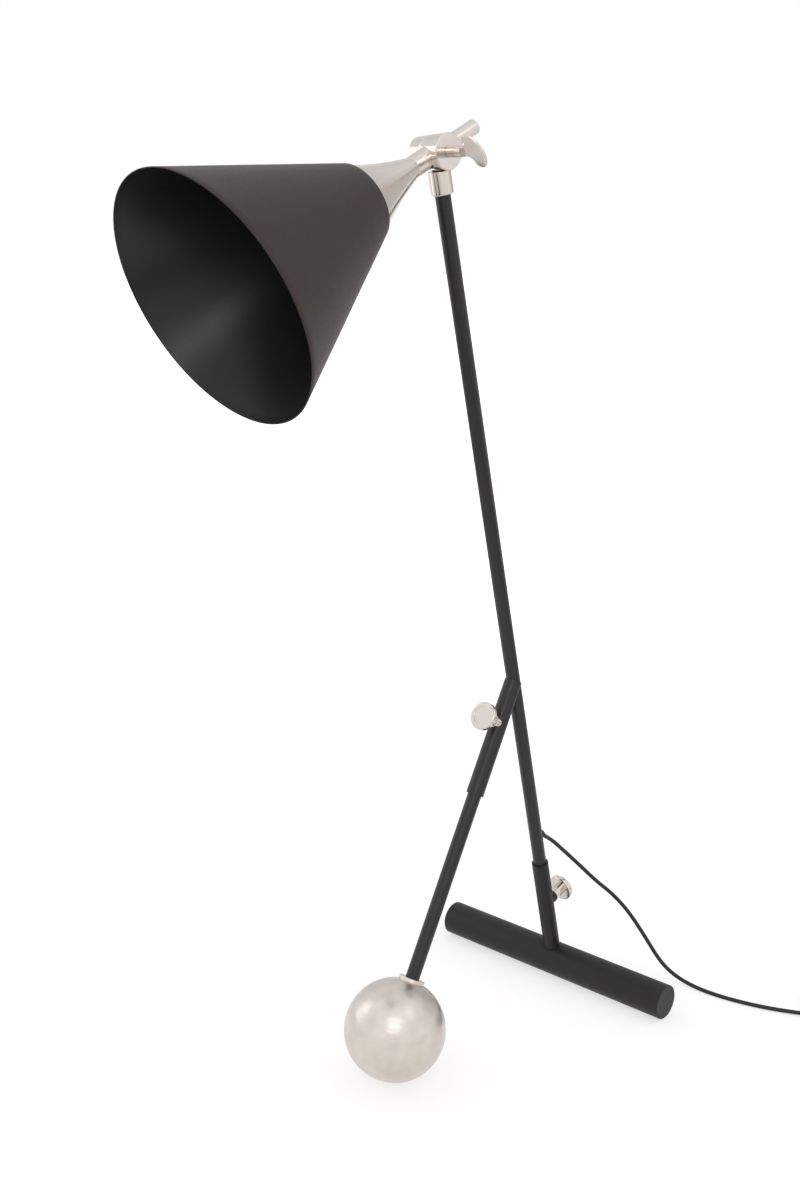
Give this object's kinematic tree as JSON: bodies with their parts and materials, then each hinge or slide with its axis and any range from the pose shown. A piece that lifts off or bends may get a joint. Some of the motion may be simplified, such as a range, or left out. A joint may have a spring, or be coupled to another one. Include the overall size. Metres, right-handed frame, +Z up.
{
  "type": "adjustable arm floor lamp",
  "caption": "Tripod-like floor lamp: a weighted round foot bar, a leaning telescopic post, a telescopic leg ending in a ball, and a cone shade on a swivel and tilt joint.",
  "frame": {"origin": "on the floor, at the bottom centre of the bounding box without the cord and its coil, tie and plug", "axes": "+Z up, +X along the foot bar, -Y the front, where the ball and the shade point"},
  "size_m": [0.6501, 1.0337, 1.2897],
  "materials": {
    "black_coat": "matte black powder coat",
    "charcoal_coat": "matte warm charcoal outside, black inside",
    "nickel": "warm satin nickel plate",
    "steel": "plain machined steel",
    "rubber": "matte",
    "black_plastic": "satin black",
    "white_plastic": "natural nylon",
    "brass": "plain"
  },
  "bodies": {
    "foot": {"foot_bar": "black_coat", "foot_pads": "rubber", "lower_sleeve": "black_coat", "lower_sleeve_boss": "black_coat", "cord_coil": "black_plastic", "cord_tie": "black_plastic", "plug_body": "black_plastic", "plug_pins": "brass"},
    "lower_screw": {"lower_thumbscrew": "nickel"},
    "post": {"post_tube": "black_coat", "leg_sleeve": "black_coat", "leg_sleeve_boss": "nickel", "post_ferrule": "nickel", "cord_gland": "black_plastic", "inner_cable": "black_plastic", "cord": "black_plastic"},
    "leg": {"leg_rod": "black_coat", "leg_rod_plug": "black_plastic", "leg_rod_insert": "steel", "ball": "nickel", "ball_bush": "steel", "ball_collar": "nickel", "leg_stud": "steel"},
    "leg_screw": {"leg_thumbscrew": "nickel"},
    "swivel": {"tilt_core": "steel", "swivel_stud": "steel", "swivel_washer": "black_plastic", "stud_washer": "steel", "stud_nut": "steel"},
    "head": {"joint_drum": "nickel", "rear_cap": "nickel", "friction_washer": "white_plastic", "tail_rod": "nickel", "neck_tube": "nickel", "shade_flare": "nickel", "shade_cone": "charcoal_coat", "holder_nipple": "steel", "lampholder": "black_plastic", "socket_shell": "brass", "socket_contact": "brass"},
    "wing": {"wing_screw": "nickel"}
  },
  "joints": [
    {"name": "post_height", "type": "slide", "parent": "foot", "child": "post", "axis": [0, -0.2411, 0.9705], "range_m": [-0.028, 0.062], "deforming": ["cord"]},
    {"name": "lower_screw_turn", "type": "hinge", "parent": "foot", "child": "lower_screw", "pos_m": [0, 0.31813, 0.13414], "axis": [0, 0.9705, 0.2411], "range_deg": [0, 270]},
    {"name": "leg_extension", "type": "slide", "parent": "post", "child": "leg", "axis": [0, -0.4977, -0.8673], "range_m": [-0.015, 0.018]},
    {"name": "leg_screw_turn", "type": "hinge", "parent": "post", "child": "leg_screw", "pos_m": [0, 0.18877, 0.46483], "axis": [0, -0.8673, 0.4977], "range_deg": [0, 270]},
    {"name": "shade_swivel", "type": "hinge", "parent": "post", "child": "swivel", "pos_m": [0, 0.04118, 1.24906], "axis": [0, -0.2411, 0.9705], "range_deg": [-170, 170]},
    {"name": "shade_tilt", "type": "hinge", "parent": "swivel", "child": "head", "pos_m": [0, 0.04118, 1.24906], "axis": [0.9944, -0.103, -0.0256], "range_deg": [-45, 12]},
    {"name": "wing_turn", "type": "hinge", "parent": "swivel", "child": "wing", "pos_m": [0, 0.04118, 1.24906], "axis": [0.9944, -0.103, -0.0256], "range_deg": [0, 270]}
  ]
}
